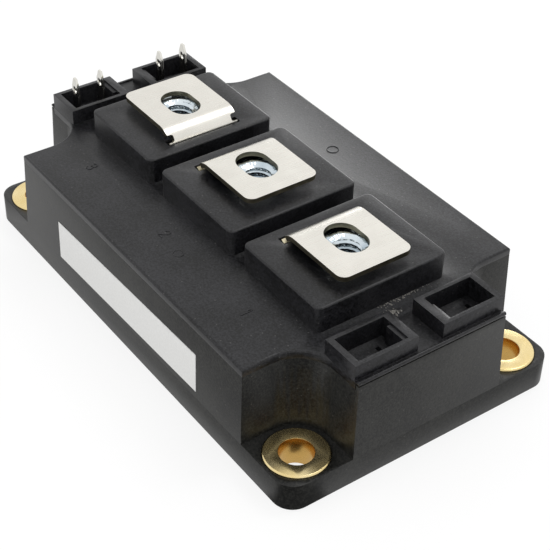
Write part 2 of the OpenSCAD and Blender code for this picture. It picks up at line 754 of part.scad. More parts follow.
base_plate();
case_frame();
lid();
for (n = [1:4]) translate([hole_x * (n < 3 ? 1 : -1), hole_y * (n % 2 == 1 ? -1 : 1), 0]) bushing();
for (n = [1:3]) {
    translate([(2 - n) * terminal_pitch, 0, nut_z]) nut();
    terminal_place(2 - n) terminal();
}
for (n = [1:4]) translate([-socket_mid_x, tab_ys[n - 1], 0]) signal_tab();
for (n = [1:2]) translate([substrate_x * (n == 1 ? 1 : -1), 0, 0]) {
    ceramic();
    back_copper();
    front_copper();
}
igbt_chips();
diode_chips();
bond_ribbons();
silicone_gel();
label();
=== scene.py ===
import math
import random

import bmesh
import bpy
from mathutils import Matrix, Vector, geometry


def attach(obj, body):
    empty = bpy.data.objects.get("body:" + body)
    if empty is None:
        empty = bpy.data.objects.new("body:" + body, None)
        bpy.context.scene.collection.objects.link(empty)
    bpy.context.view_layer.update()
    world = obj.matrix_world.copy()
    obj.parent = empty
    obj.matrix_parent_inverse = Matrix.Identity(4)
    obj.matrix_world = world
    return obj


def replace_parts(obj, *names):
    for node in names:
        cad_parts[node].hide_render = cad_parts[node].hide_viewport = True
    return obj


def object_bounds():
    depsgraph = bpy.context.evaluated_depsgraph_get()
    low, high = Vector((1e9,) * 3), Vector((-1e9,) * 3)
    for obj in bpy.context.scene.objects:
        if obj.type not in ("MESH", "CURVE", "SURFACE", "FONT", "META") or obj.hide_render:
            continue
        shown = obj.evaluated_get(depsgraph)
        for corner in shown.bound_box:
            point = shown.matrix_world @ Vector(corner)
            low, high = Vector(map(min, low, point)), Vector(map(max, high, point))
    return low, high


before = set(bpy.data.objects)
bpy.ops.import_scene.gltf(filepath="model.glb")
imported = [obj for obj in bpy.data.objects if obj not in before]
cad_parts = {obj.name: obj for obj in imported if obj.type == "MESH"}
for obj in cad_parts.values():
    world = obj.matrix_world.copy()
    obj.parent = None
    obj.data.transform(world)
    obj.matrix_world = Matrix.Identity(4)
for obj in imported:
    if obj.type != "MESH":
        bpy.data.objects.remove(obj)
cad_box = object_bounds()
MM = 0.001


# ---------------------------------------------------------------------------------------------
# Studio. A light tent: white all round and a white board underneath, so the black plastic gets
# its tone from the white that it mirrors, and whatever mirrors the part itself falls dark.
# ---------------------------------------------------------------------------------------------
def linear(hex_colour):
    """An sRGB hex colour as the linear RGBA that the shaders take."""
    channels = [int(hex_colour[i : i + 2], 16) / 255 for i in (1, 3, 5)]
    return [c / 12.92 if c <= 0.04045 else ((c + 0.055) / 1.055) ** 2.4 for c in channels] + [1.0]


def add(tree, kind, settings=None, *sources, **inputs):
    """Adds one node with its settings and links, and returns its first output.

    Settings are its attributes, or a colour ramp's two (position, hex colour) stops. Sources go
    to its inputs in order and inputs to the ones they name, each a value or a feeding socket.
    """
    made = tree.nodes.new(kind)
    for name, value in (settings or {}).items():
        if name == "stops":
            for element, (position, colour) in zip(made.color_ramp.elements, value):
                element.position, element.color = position, linear(colour)
        else:
            setattr(made, name, value)
    sockets = [socket for socket in made.inputs if socket.enabled]
    fed = list(zip(sockets, sources))
    for name, source in inputs.items():
        wanted = name.replace("_", " ")
        fed.append((next(socket for socket in sockets if socket.name == wanted), source))
    for socket, source in fed:
        if isinstance(source, bpy.types.NodeSocket):
            tree.links.new(source, socket)
        else:
            socket.default_value = source
    return next((socket for socket in made.outputs if socket.enabled), None)


def new_material(name):
    """An empty node material with its output, and the coordinates that ride with the piece."""
    made = bpy.data.materials.new(name)
    made.use_nodes = True
    made.node_tree.nodes.clear()
    output = made.node_tree.nodes.new("ShaderNodeOutputMaterial")
    where = made.node_tree.nodes.new("ShaderNodeTexCoord").outputs["Object"]
    return made, made.node_tree, output, where


def softbox(name, place, size, power):
    """A rectangular lamp at place, turned to the module; lengths in metres, power in watts."""
    lamp = bpy.data.lights.new(name, "AREA")
    lamp.shape = "RECTANGLE"
    lamp.size, lamp.size_y = size
    lamp.energy = power
    made = bpy.data.objects.new(name, lamp)
    made.location = place
    made.rotation_euler = (LAMP_AIM - Vector(place)).to_track_quat("-Z", "Y").to_euler()
    bpy.context.collection.objects.link(made)


LAMP_AIM = Vector((0, 0, 20)) * MM
CAMERA_AIM = Vector((13.37, -5.19, 15.0)) * MM
CAMERA_AZIMUTH = math.radians(53.58)
CAMERA_ELEVATION = math.radians(38.27)
CAMERA_ROLL = math.radians(1.56)
CAMERA_DISTANCE = 267.68 * MM
FLOOR_HALF = 3.0
FLOOR_DROP = 0.02 * MM

back = Vector(
    (
        math.sin(CAMERA_AZIMUTH) * math.cos(CAMERA_ELEVATION),
        -math.cos(CAMERA_AZIMUTH) * math.cos(CAMERA_ELEVATION),
        math.sin(CAMERA_ELEVATION),
    )
)
level_right = (-back).cross(Vector((0, 0, 1))).normalized()
level_up = level_right.cross(-back)
right = level_right * math.cos(CAMERA_ROLL) + level_up * math.sin(CAMERA_ROLL)
up = level_up * math.cos(CAMERA_ROLL) - level_right * math.sin(CAMERA_ROLL)
camera_data = bpy.data.cameras.new("camera")
camera_data.sensor_width = 36
camera_data.lens = 92.39
camera_data.clip_start = 10 * MM
camera_data.clip_end = 20
camera = bpy.data.objects.new("camera", camera_data)
turned = Matrix((right, up, back)).transposed().to_4x4()
camera.matrix_world = Matrix.Translation(CAMERA_AIM + back * CAMERA_DISTANCE) @ turned
bpy.context.collection.objects.link(camera)
bpy.context.scene.camera = camera

# A high softbox draws the white band across the terminal's bend and the lines on the blocks' near
# top edges; a low one behind draws the lines on their far edges.
softbox("bend_softbox", place=(0.04, 0.28, 0.55), size=(0.20, 0.20), power=0.55)
softbox("rim_softbox", place=(-0.38, 0.43, 0.13), size=(0.22, 0.14), power=0.55)

world = bpy.data.worlds.new("studio")
world.use_nodes = True
sky = world.node_tree
sky.nodes.clear()
tent = add(sky, "ShaderNodeBackground", Color=linear("#ffffff"), Strength=1.0)
add(sky, "ShaderNodeOutputWorld", Surface=tent)
bpy.context.scene.world = world
bpy.context.scene.view_settings.view_transform = "Standard"

floor_mesh = bpy.data.meshes.new("floor")
floor_mesh.from_pydata(
    [(x, y, 0) for x, y in ((-1, -1), (1, -1), (1, 1), (-1, 1))], [], [(0, 1, 2, 3)]
)
floor_mesh.transform(Matrix.Scale(FLOOR_HALF, 4))
floor = bpy.data.objects.new("floor", floor_mesh)
floor.location.z = cad_box[0].z - FLOOR_DROP
bpy.context.collection.objects.link(floor)
# White board, lit through from below. What the camera and the mirrors see of it is mostly its own
# white, and its diffuse share still takes the contact shadow.
floor_material, tree, output, where = new_material("backlit_white_board")
board = add(tree, "ShaderNodeBsdfDiffuse", Color=linear("#e8e8e8"))
share = add(tree, "ShaderNodeBsdfDiffuse", Color=linear("#7c7c7c"))
# The tent is open on the camera's side, so what faces that way mirrors a dark strip of board. The
# strip spreads from a corner of the case; its edges are cosines off the middle of the opening.
OPENING_CORNER = (46 * MM, -23 * MM, 0)
OPENING_HEADING = (math.sin(CAMERA_AZIMUTH), -math.cos(CAMERA_AZIMUTH), 0)
STRIP_START, STRIP_FULL = 0.6, 0.88
BOARD_MIRRORED, STRIP_MIRRORED = 0.62, 0.04
BOARD_SEEN = 0.8
offset = add(tree, "ShaderNodeVectorMath", {"operation": "SUBTRACT"}, where, OPENING_CORNER)
heading = add(tree, "ShaderNodeVectorMath", {"operation": "NORMALIZE"}, offset)
facing = add(tree, "ShaderNodeVectorMath", {"operation": "DOT_PRODUCT"}, heading, OPENING_HEADING)
opening = add(
    tree,
    "ShaderNodeMapRange",
    {"interpolation_type": "SMOOTHSTEP"},
    Value=facing,
    From_Min=STRIP_START,
    From_Max=STRIP_FULL,
    To_Min=BOARD_MIRRORED,
    To_Max=STRIP_MIRRORED,
)
seen = add(tree, "ShaderNodeLightPath").node.outputs
glossy = seen["Is Glossy Ray"]
level = add(tree, "ShaderNodeMix", {"data_type": "FLOAT"}, glossy, BOARD_SEEN, opening)
glow = add(tree, "ShaderNodeEmission", Color=linear("#ffffff"), Strength=level)
shown = seen["Is Camera Ray"]
for ray in (glossy, seen["Is Transmission Ray"]):
    shown = add(tree, "ShaderNodeMath", {"operation": "MAXIMUM"}, shown, ray)
summed = add(tree, "ShaderNodeAddShader", None, share, glow)
lit = add(tree, "ShaderNodeMixShader", None, shown, board, summed)
tree.links.new(lit, output.inputs["Surface"])
floor_mesh.materials.append(floor_material)


# ---------------------------------------------------------------------------------------------
# Base plate. Rolled copper, nickel plated, lapped flat underneath; it is pressed into the
# frame's rim and only its underside shows.
# ---------------------------------------------------------------------------------------------
SHARP_ANGLE = math.radians(28)
BREAK_ANGLE = math.radians(40)
FLAT_ANGLE = math.radians(1)
WELD_WITHIN = 0.001 * MM
CLOUD_SIZE = 6 * MM
CLOUD = {"Detail": 3.0, "Roughness": 0.6}
GRAIN_STRETCH = 0.06
RELIEF = 0.02 * MM


def smooth_by_angle():
    """Modifier group that shades curved walls smooth and keeps edges over SHARP_ANGLE sharp."""
    group = bpy.data.node_groups.new("smooth_walls", "GeometryNodeTree")
    for way in ("INPUT", "OUTPUT"):
        group.interface.new_socket("Geometry", in_out=way, socket_type="NodeSocketGeometry")
    start, end = group.nodes.new("NodeGroupInput"), group.nodes.new("NodeGroupOutput")
    shade = "GeometryNodeSetShadeSmooth"
    all_smooth = add(group, shade, {"domain": "FACE"}, Geometry=start.outputs[0])
    angle = add(group, "GeometryNodeInputMeshEdgeAngle").node.outputs["Unsigned Angle"]
    sharp = add(group, "FunctionNodeCompare", {"operation": "GREATER_THAN"}, angle, SHARP_ANGLE)
    edges = add(
        group,
        shade,
        {"domain": "EDGE"},
        Geometry=all_smooth,
        Selection=sharp,
        Shade_Smooth=False,
    )
    group.links.new(edges, end.inputs[0])
    return group


smooth_walls = smooth_by_angle()


def finish_node(name, material, edge=None):
    """Gives a carried-over solid its material, and breaks its edges by edge millimetres."""
    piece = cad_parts[name]
    piece.data.materials.clear()
    piece.data.materials.append(material)
    if not edge:
        return
    weld = piece.modifiers.new("weld", "WELD")
    weld.merge_threshold = WELD_WITHIN
    flat = piece.modifiers.new("flat_faces", "DECIMATE")
    flat.decimate_type = "DISSOLVE"
    flat.angle_limit = FLAT_ANGLE
    broken = piece.modifiers.new("edge_break", "BEVEL")
    broken.width = edge * MM
    broken.segments = 2
    broken.limit_method = "ANGLE"
    broken.angle_limit = BREAK_ANGLE
    broken.harden_normals = False
    broken.use_clamp_overlap = True
    shade = piece.modifiers.new("smooth_walls", "NODES")
    shade.node_group = smooth_walls


def plated_metal(name, colours, roughness, grain_mm, relief, grain_axis=None, tint=None):
    """A plated or passivated metal: cloudy colour, rubbed roughness and a fine surface grain.

    The grain runs along grain_axis. A tint is a hex colour and a function of (tree, where)
    that gives its share at each place; the tints used here are painted shade.
    """
    made, tree, output, where = new_material(name)
    run = [1.0, 1.0, 1.0]
    if grain_axis is not None:
        run[grain_axis] = GRAIN_STRETCH
    stretch = add(tree, "ShaderNodeMapping", Vector=where, Scale=run)
    cloud = add(tree, "ShaderNodeTexNoise", Vector=where, Scale=1 / CLOUD_SIZE, **CLOUD)
    grain = add(tree, "ShaderNodeTexNoise", Vector=stretch, Scale=1 / (grain_mm * MM), Detail=4.0)
    stops = ((0.3, colours[0]), (0.7, colours[1]))
    colour = add(tree, "ShaderNodeValToRGB", {"stops": stops}, cloud)
    if tint:
        other, share_at = tint
        share = share_at(tree, where)
        colour = add(tree, "ShaderNodeMix", {"data_type": "RGBA"}, share, colour, linear(other))
    low, high = roughness
    metal = add(
        tree,
        "ShaderNodeBsdfPrincipled",
        Base_Color=colour,
        Metallic=1.0,
        Roughness=add(tree, "ShaderNodeMapRange", Value=grain, To_Min=low, To_Max=high),
        Normal=add(tree, "ShaderNodeBump", Height=grain, Strength=relief, Distance=RELIEF),
    )
    tree.links.new(metal, output.inputs["Surface"])
    return made


nickel_plate = plated_metal(
    "nickel_plated_copper",
    ("#bdb9b0", "#cfccc4"),
    roughness=(0.28, 0.42),
    grain_mm=0.4,
    relief=0.25,
    grain_axis=0,
)
finish_node("base_plate", nickel_plate, edge=0.3)


# ---------------------------------------------------------------------------------------------
# Substrates and chips, sealed inside. Alumina plates with copper on both faces, silicon chips
# soldered to the front copper, aluminium ribbons between them, and clear gel over everything.
# ---------------------------------------------------------------------------------------------
def plain_part(name, colours, roughness, grain_mm, relief, **shader):
    """A non-metal with slight colour mottling and a fine surface texture."""
    made, tree, output, where = new_material(name)
    grain = add(tree, "ShaderNodeTexNoise", Vector=where, Scale=1 / (grain_mm * MM), Detail=4.0)
    stops = ((0.35, colours[0]), (0.65, colours[1]))
    body = add(
        tree,
        "ShaderNodeBsdfPrincipled",
        Base_Color=add(tree, "ShaderNodeValToRGB", {"stops": stops}, grain),
        Roughness=roughness,
        Normal=add(tree, "ShaderNodeBump", Height=grain, Strength=relief, Distance=RELIEF),
        **shader,
    )
    tree.links.new(body, output.inputs["Surface"])
    return made


alumina = plain_part("fired_alumina", ("#eeeae0", "#f4f1e8"), 0.55, 0.2, 0.2)
copper = plated_metal("etched_copper", ("#b0683c", "#c47a4c"), (0.3, 0.45), 0.3, 0.2)
silicon = plated_metal("metallised_silicon", ("#8a8c94", "#9b9da4"), (0.2, 0.3), 0.1, 0.05)
ribbon = plated_metal("rolled_aluminium", ("#cfd1d3", "#dcdedf"), (0.25, 0.4), 0.1, 0.1, 0)
clear = {"Transmission_Weight": 0.9, "IOR": 1.41}
gel = plain_part("silicone_gel", ("#dfe6ea", "#e6ecef"), 0.12, 3.0, 0.1, **clear)
for name in ("ceramic_1", "ceramic_2"):
    finish_node(name, alumina)
for name in ("back_copper_1", "back_copper_2", "front_copper_1", "front_copper_2"):
    finish_node(name, copper)
finish_node("igbt_chips", silicon)
finish_node("diode_chips", silicon)
finish_node("bond_ribbons", ribbon)
finish_node("silicone_gel", gel)


# ---------------------------------------------------------------------------------------------
# Case frame and lid. Glass-filled black thermoplastic, injection moulded in spark-eroded tools,
# which leaves an even, fine, dry grain; it shows pale dust and faint flow marks.
# ---------------------------------------------------------------------------------------------
# Real grit is about 0.05 mm; it is drawn at 0.45 mm so that it shows at this distance.
GRIT_SIZE = 0.45 * MM
GRIT_RELIEF = 0.03 * MM
GRIT = {"Detail": 3.0, "Roughness": 0.75}
FLOW_SIZE = 12 * MM
FLOW = {"Detail": 4.0, "Roughness": 0.55}
GRIT_SHARE, FLOW_SHARE = 0.7, 0.3
DRY_ROUGHNESS = (0.26, 0.44)
DUST = "#8c8a86"
DUST_SPACING = 1.6 * MM
# A speck is solid and gone at these shares of the spacing.
SPECK_SOLID, SPECK_GONE = 0.05, 0.11


def moulded_plastic(name, colours, dust):
    """Black filled thermoplastic: spark-eroded grain, faint flow marks, sparse pale dust."""
    made, tree, output, where = new_material(name)
    grit = add(tree, "ShaderNodeTexNoise", Vector=where, Scale=1 / GRIT_SIZE, **GRIT)
    flow = add(tree, "ShaderNodeTexNoise", Vector=where, Scale=1 / FLOW_SIZE, **FLOW)
    slow = add(tree, "ShaderNodeMath", {"operation": "MULTIPLY"}, flow, FLOW_SHARE)
    tone = add(tree, "ShaderNodeMath", {"operation": "MULTIPLY_ADD"}, grit, GRIT_SHARE, slow)
    fleck = add(tree, "ShaderNodeTexVoronoi", Vector=where, Scale=1 / DUST_SPACING)
    speck = add(
        tree,
        "ShaderNodeMapRange",
        Value=fleck,
        From_Min=SPECK_SOLID,
        From_Max=SPECK_GONE,
        To_Min=dust,
        To_Max=0.0,
    )
    stops = ((0.42, colours[0]), (0.60, colours[1]))
    plain = add(tree, "ShaderNodeValToRGB", {"stops": stops}, tone)
    low, high = DRY_ROUGHNESS
    body = add(
        tree,
        "ShaderNodeBsdfPrincipled",
        Base_Color=add(tree, "ShaderNodeMix", {"data_type": "RGBA"}, speck, plain, linear(DUST)),
        Roughness=add(tree, "ShaderNodeMapRange", Value=grit, To_Min=low, To_Max=high),
        IOR=1.42,
        Normal=add(tree, "ShaderNodeBump", Height=grit, Strength=0.7, Distance=GRIT_RELIEF),
    )
    tree.links.new(body, output.inputs["Surface"])
    return made


case_plastic = moulded_plastic("moulded_case_plastic", ("#040403", "#282825"), dust=0.15)
lid_plastic = moulded_plastic("moulded_lid_plastic", ("#030304", "#262629"), dust=0.2)
finish_node("case_frame", case_plastic, edge=0.12)
finish_node("lid", lid_plastic, edge=0.12)


# ---------------------------------------------------------------------------------------------
# Terminal numbers and ejector marks. They are part of the lid's moulding: raised strokes beside
# the blocks, and the shallow rings that round ejector pins leave in the deck.
# ---------------------------------------------------------------------------------------------
DECK_Z = 22.6
MARK_H = 0.11
RING_H = 0.07
RING_W = 0.3
SUNK = 0.05
STROKE_W = 0.34
NUMERAL_H = 2.3
NUMERAL_W = 0.62 * NUMERAL_H
NUMERAL_PLACES = {1: (27.1, -21.2), 2: (-0.5, -20.8), 3: (-27.6, -21.0)}
EJECTOR_RINGS = (((6.0, -22.0), 1.0), ((-6.0, 22.9), 1.2))
# Each digit is one or two lines through (across, up) points of a unit square.
DIGITS = {
    1: [[(0.25, 0.78), (0.5, 1.0), (0.5, 0.0)]],
    2: [
        [(0.08, 0.75), (0.2, 0.95), (0.5, 1.0), (0.8, 0.9)]
        + [(0.85, 0.68), (0.6, 0.42), (0.1, 0.0), (0.9, 0.0)]
    ],
    3: [
        [(0.1, 0.88), (0.35, 1.0), (0.7, 0.97), (0.82, 0.76), (0.62, 0.56), (0.4, 0.53)],
        [(0.4, 0.53), (0.72, 0.48), (0.88, 0.25), (0.68, 0.03), (0.35, 0.0), (0.08, 0.14)],
    ],
}


def new_piece(name, verts, faces, materials):
    """A mesh piece from millimetre points, riding on the module's body."""
    mesh = bpy.data.meshes.new(name)
    mesh.from_pydata([[c * MM for c in v] for v in verts], [], faces)
    mesh.validate()
    for material in materials:
        mesh.materials.append(material)
    made = bpy.data.objects.new(name, mesh)
    bpy.context.collection.objects.link(made)
    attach(made, "root")
    return made


def stroke_ridge(verts, faces, points, width, low, high):
    """Adds one raised stroke with sloping sides along a line of (x, y) points."""
    count = len(points)
    start = len(verts)
    for i, (x, y) in enumerate(points):
        before = Vector(points[max(i - 1, 0)])
        after = Vector(points[min(i + 1, count - 1)])
        along = (after - before).normalized()
        side = Vector((-along.y, along.x))
        reach = 0.4 * width * ((i == count - 1) - (i == 0))
        centre = Vector((x, y)) + along * reach
        for offset, z in ((-0.5, low), (-0.28, high), (0.28, high), (0.5, low)):
            spot = centre + side * width * offset
            verts.append((spot.x, spot.y, z))
    for i in range(count - 1):
        a = start + 4 * i
        for k in range(3):
            faces.append((a + k, a + 4 + k, a + 5 + k, a + 1 + k))
        faces.append((a + 3, a + 7, a + 4, a))
    last = start + 4 * (count - 1)
    faces.append((start, start + 1, start + 2, start + 3))
    faces.append((last + 3, last + 2, last + 1, last))


def ring_ridge(verts, faces, centre, radius, width, low, high, steps=40):
    """Adds one raised ring with sloping sides round an (x, y) centre."""
    start = len(verts)
    for i in range(steps):
        turn = 2 * math.pi * i / steps
        for offset, z in ((-0.5, low), (-0.25, high), (0.25, high), (0.5, low)):
            r = radius + width * offset
            verts.append((centre[0] + r * math.cos(turn), centre[1] + r * math.sin(turn), z))
    for i in range(steps):
        a, b = start + 4 * i, start + 4 * ((i + 1) % steps)
        for k in range(4):
            faces.append((a + k, a + (k + 1) % 4, b + (k + 1) % 4, b + k))


for digit, (x, y) in NUMERAL_PLACES.items():
    verts, faces = [], []
    for line in DIGITS[digit]:
        spots = [(x + (u - 0.5) * NUMERAL_W, y + (v - 0.5) * NUMERAL_H) for u, v in line]
        stroke_ridge(verts, faces, spots, STROKE_W, DECK_Z - SUNK, DECK_Z + MARK_H)
    new_piece(f"terminal_number_{digit}", verts, faces, [lid_plastic])
verts, faces = [], []
for centre, radius in EJECTOR_RINGS:
    ring_ridge(verts, faces, centre, radius, RING_W, DECK_Z - SUNK, DECK_Z + RING_H)
new_piece("ejector_marks", verts, faces, [lid_plastic])


# ---------------------------------------------------------------------------------------------
# Sealant flecks. Cured crumbs of clear sealant that squeezed out beside the first block and the
# sockets when the lid was glued on; they are dull grey and stick to the deck.
# ---------------------------------------------------------------------------------------------
TERMINAL_X = (28.0, 0.0, -28.0)
BLOCK_FOOT_X = TERMINAL_X[0] + 10.6
SOCKET_CORNER = (41.4, -0.2)
END_JOINT_X = 52.05
CRUMB_SUNK = 0.03
draw = random.Random(7)
sealant = plain_part("cured_sealant", ("#55534f", "#8e8b84"), 0.35, 0.5, 0.4)


def crumb(verts, faces, x, y, size, height):
    """Adds one uneven squashed crumb on the deck."""
    start = len(verts)
    turn = draw.uniform(0, math.pi)
    low = DECK_Z - CRUMB_SUNK
    sides, rings = 7, 3
    for j in range(rings):
        rise = 0.5 * math.pi * j / rings
        for i in range(sides):
            angle = turn + 2 * math.pi * i / sides
            r = size * math.cos(rise) * draw.uniform(0.75, 1.2)
            spot = (x + r * math.cos(angle), y + 0.8 * r * math.sin(angle))
            verts.append((*spot, low + height * math.sin(rise)))
    verts.append((x, y, low + height))
    for j in range(rings - 1):
        for i in range(sides):
            a, b = start + j * sides, start + (j + 1) * sides
            k = (i + 1) % sides
            faces.append((a + i, a + k, b + k, b + i))
    top, peak = start + (rings - 1) * sides, len(verts) - 1
    for i in range(sides):
        faces.append((top + i, top + (i + 1) % sides, peak))
    faces.append(tuple(start + i for i in reversed(range(sides))))


# Along the block's foot, in a patch at the socket's corner, and in the joint at the case's end.
verts, faces = [], []
for _ in range(70):
    y = draw.triangular(-3, 12, 3)
    x = BLOCK_FOOT_X + abs(draw.gauss(0.15, 0.35))
    crumb(verts, faces, x, y, draw.uniform(0.08, 0.2), draw.uniform(0.06, 0.18))
for _ in range(60):
    x, y = draw.gauss(SOCKET_CORNER[0], 0.7), draw.gauss(SOCKET_CORNER[1], 0.7)
    crumb(verts, faces, x, y, draw.uniform(0.12, 0.34), draw.uniform(0.08, 0.3))
for _ in range(50):
    x, y = END_JOINT_X + draw.uniform(-0.05, 0.05), draw.uniform(-15, 15)
    crumb(verts, faces, x, y, draw.uniform(0.04, 0.09), 0.06)
new_piece("sealant_flecks", verts, faces, [sealant])


# ---------------------------------------------------------------------------------------------
# Mounting bushings. Turned steel, yellow passivated: a flat head with a broken edge, and a bore
# whose wall is painted a darker, deeper gold as shade in the hollow.
# ---------------------------------------------------------------------------------------------
BUSHING_X, BUSHING_Y = 46.5, 24.0
# The painted shade in the bore is full within BORE_R and gone BORE_EDGE past it.
BORE_R = 3.2
BORE_EDGE = 0.2


def painted_bore_shade(tree, where):
    """Painted shade in the bore: 1 on a bushing's bore and 0 past its edge, by the distance from
    the nearest axis.
    """
    quadrant = add(tree, "ShaderNodeVectorMath", {"operation": "ABSOLUTE"}, where)
    plan = add(tree, "ShaderNodeVectorMath", {"operation": "MULTIPLY"}, quadrant, (1, 1, 0))
    axis = (BUSHING_X * MM, BUSHING_Y * MM, 0)
    radius = add(tree, "ShaderNodeVectorMath", {"operation": "DISTANCE"}, plan, axis)
    return add(
        tree,
        "ShaderNodeMapRange",
        Value=radius,
        From_Min=BORE_R * MM,
        From_Max=(BORE_R + BORE_EDGE) * MM,
        To_Min=1.0,
        To_Max=0.0,
    )


passivated = plated_metal(
    "yellow_passivated_steel",
    ("#e4cc8e", "#f1deac"),
    roughness=(0.2, 0.32),
    grain_mm=0.25,
    relief=0.15,
    # The bore's darker, deeper gold is painted shade.
    tint=("#d8b066", painted_bore_shade),
)
for number in range(1, 5):
    finish_node(f"bushing_{number}", passivated, edge=0.12)


# ---------------------------------------------------------------------------------------------
# Power nuts. M6 hexagon nuts of blue passivated steel, laid loose in the blocks: turned corners,
# a countersunk mouth and a coarse internal thread that shows through the terminal's hole.
# ---------------------------------------------------------------------------------------------
NUT_AF = 10.0
NUT_H = 5.0
NUT_Z = 23.9
# The thread is drawn coarser than the real 1 mm pitch, so that its turns show at this distance.
THREAD_MINOR_R = 2.6
THREAD_MAJOR_R = 3.2
THREAD_PITCH = 1.3
FLANK_SLOPE = 2.8
MOUTH_R = 3.8
MOUTH_SLOPE = 2.0
BURR_H = 0.12
BURR_DEPTH = 0.3
BURR_WAVES = (23, 11)
CORNER_SLOPE = 1.6
CORNER_DEPTHS = (0.0, 0.2, 0.45)
NUT_SHARP_ANGLE = math.radians(38)
THREAD_TURN = 0.31
# Painted shade down the nut's bore: full below GREY_FULL_Z and gone above GREY_NONE_Z.
GREY_FULL_Z, GREY_NONE_Z = 25.4, 27.6
GREY_SHARE = 0.85


def painted_thread_shade(tree, where):
    """0 at the nut's mouth, rising with depth: painted shade that turns the thread grey blue down
    the bore.
    """
    height = add(tree, "ShaderNodeSeparateXYZ", Vector=where).node.outputs["Z"]
    return add(
        tree,
        "ShaderNodeMapRange",
        Value=height,
        From_Min=GREY_FULL_Z * MM,
        From_Max=GREY_NONE_Z * MM,
        To_Min=GREY_SHARE,
        To_Max=0.0,
    )


zinc = plated_metal(
    "blue_passivated_zinc",
    ("#b4c2cc", "#e2eaee"),
    roughness=(0.10, 0.22),
    grain_mm=0.35,
    relief=0.4,
    # The grey blue down the thread is painted shade.
    tint=("#73848f", painted_thread_shade),
)


def threaded_nut(name, x, turn):
    """One nut as a closed skin: threaded bore, top face, hexagon and bottom face."""
    around, down = 96, 60
    fine, coarse = BURR_WAVES
    verts, rings = [], []

    def ring(radius_at, z):
        rings.append(len(verts))
        for i in range(around):
            angle = 2 * math.pi * i / around
            r = radius_at(angle)
            verts.append((x + r * math.cos(angle), r * math.sin(angle), z))

    def bore(z):
        depth = min(z - NUT_Z, NUT_Z + NUT_H - z)
        mouth = MOUTH_R - MOUTH_SLOPE * depth

        def radius_at(angle):
            phase = (z / THREAD_PITCH - angle / (2 * math.pi) + turn) % 1.0
            flank = 1 - min(abs(phase - 0.5) * FLANK_SLOPE, 1.0)
            burr = BURR_H * math.sin(fine * angle + turn) * math.sin(coarse * angle)
            if depth >= BURR_DEPTH:
                burr = 0
            thread = THREAD_MINOR_R + (THREAD_MAJOR_R - THREAD_MINOR_R) * flank
            return max(mouth + burr, thread)

        return radius_at

    def hexagon(depth):
        def radius_at(angle):
            across = (angle + math.pi / 6) % (math.pi / 3) - math.pi / 6
            flat = NUT_AF / 2 / math.cos(math.pi / 6 - abs(across))
            return min(flat, NUT_AF / 2 + CORNER_SLOPE * depth)

        return radius_at

    for i in range(down + 1):
        z = NUT_Z + NUT_H * i / down
        ring(bore(z), z)
    for depth in CORNER_DEPTHS:
        ring(hexagon(depth), NUT_Z + NUT_H - depth)
    for depth in reversed(CORNER_DEPTHS):
        ring(hexagon(depth), NUT_Z + depth)
    rings.append(rings[0])
    faces = []
    for low, high in zip(rings, rings[1:]):
        for i in range(around):
            k = (i + 1) % around
            faces.append((low + k, low + i, high + i, high + k))
    made = new_piece(name, verts, faces, [zinc])
    for face in made.data.polygons:
        face.use_smooth = True
    made.data.set_sharp_from_angle(angle=NUT_SHARP_ANGLE)
    return made


for number, x in enumerate(TERMINAL_X, start=1):
    nut = threaded_nut(f"power_nut_{number}", x, THREAD_TURN * number)
    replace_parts(nut, f"nut_{number}")


# ---------------------------------------------------------------------------------------------
# Screw terminals. Strips punched from 1 mm copper sheet, tin plated, pushed through their slots
# and bent over the nuts; the punched edges stay darker than the rolled faces.
# ---------------------------------------------------------------------------------------------
SHEET_T = 1.0
PLATE_HALF_W = 8.1
PLATE_END = 8.7
CORNER_R = 1.8
PLATE_MID_Z = 30.0
BEND_X = -5.4
BEND_MID_R = 3.5
BEND_START = PLATE_END - BEND_X
BEND_END = BEND_START + BEND_MID_R * math.pi / 2
LEG_MID_X = BEND_X - BEND_MID_R
FOOT_BEND_R = 1.0
FOOT_MID_Z = 4.73
LEG_END = BEND_END + PLATE_MID_Z - BEND_MID_R - FOOT_MID_Z - FOOT_BEND_R
FOOT_START = LEG_END + FOOT_BEND_R * math.pi / 2
FOOT_END = FOOT_START + 3.7
STRIP_HALF_W = 6.8
LEG_HALF_W = 5.0
LEG_NARROWS = BEND_END + 1.5
NOTCH = (16.75, 18.15)
NOTCH_R = 0.45
NOTCH_BREAK = 0.15
HOLE_AT = PLATE_END + 0.5
HOLE_R = 3.3
HOLE_STRAIGHT = 1.4
ROLLED_EDGE = 0.1
ROLLED_ANGLE = math.radians(60)
STRIP_SHARP_ANGLE = math.radians(35)
SCORE_MARGIN = 0.4
BEND_STEPS = 14
FOOT_STEPS = 5

tin = plated_metal("satin_tin_plate", ("#dcd9d1", "#e4e1d9"), (0.22, 0.34), 0.4, 0.2, 1)
sheared = plated_metal("sheared_sheet_edge", ("#5f5a4a", "#9a937e"), (0.26, 0.42), 0.25, 0.5)


def arc(centre, radius, start, end, steps):
    """Points on a round corner, with angles in degrees."""
    turns = [math.radians(start + (end - start) * i / steps) for i in range(steps + 1)]
    return [(centre[0] + radius * math.cos(t), centre[1] + radius * math.sin(t)) for t in turns]


def blank_outline():
    """The punched blank laid flat: s along the strip from its free end, y across it."""
    low, high = NOTCH
    half = arc((CORNER_R, PLATE_HALF_W - CORNER_R), CORNER_R, 180, 90, 10)
    half += [(low - NOTCH_BREAK, PLATE_HALF_W), (low, PLATE_HALF_W - NOTCH_BREAK)]
    half += arc((low + NOTCH_R, STRIP_HALF_W + NOTCH_R), NOTCH_R, 180, 270, 5)
    half += arc((high - NOTCH_R, STRIP_HALF_W + NOTCH_R), NOTCH_R, 270, 360, 5)
    half += [(high, PLATE_HALF_W), (BEND_END, PLATE_HALF_W), (BEND_END, STRIP_HALF_W)]
    half += [(LEG_NARROWS, STRIP_HALF_W), (LEG_NARROWS, LEG_HALF_W), (FOOT_END, LEG_HALF_W)]
    return half + [(s, -y) for s, y in reversed(half)]


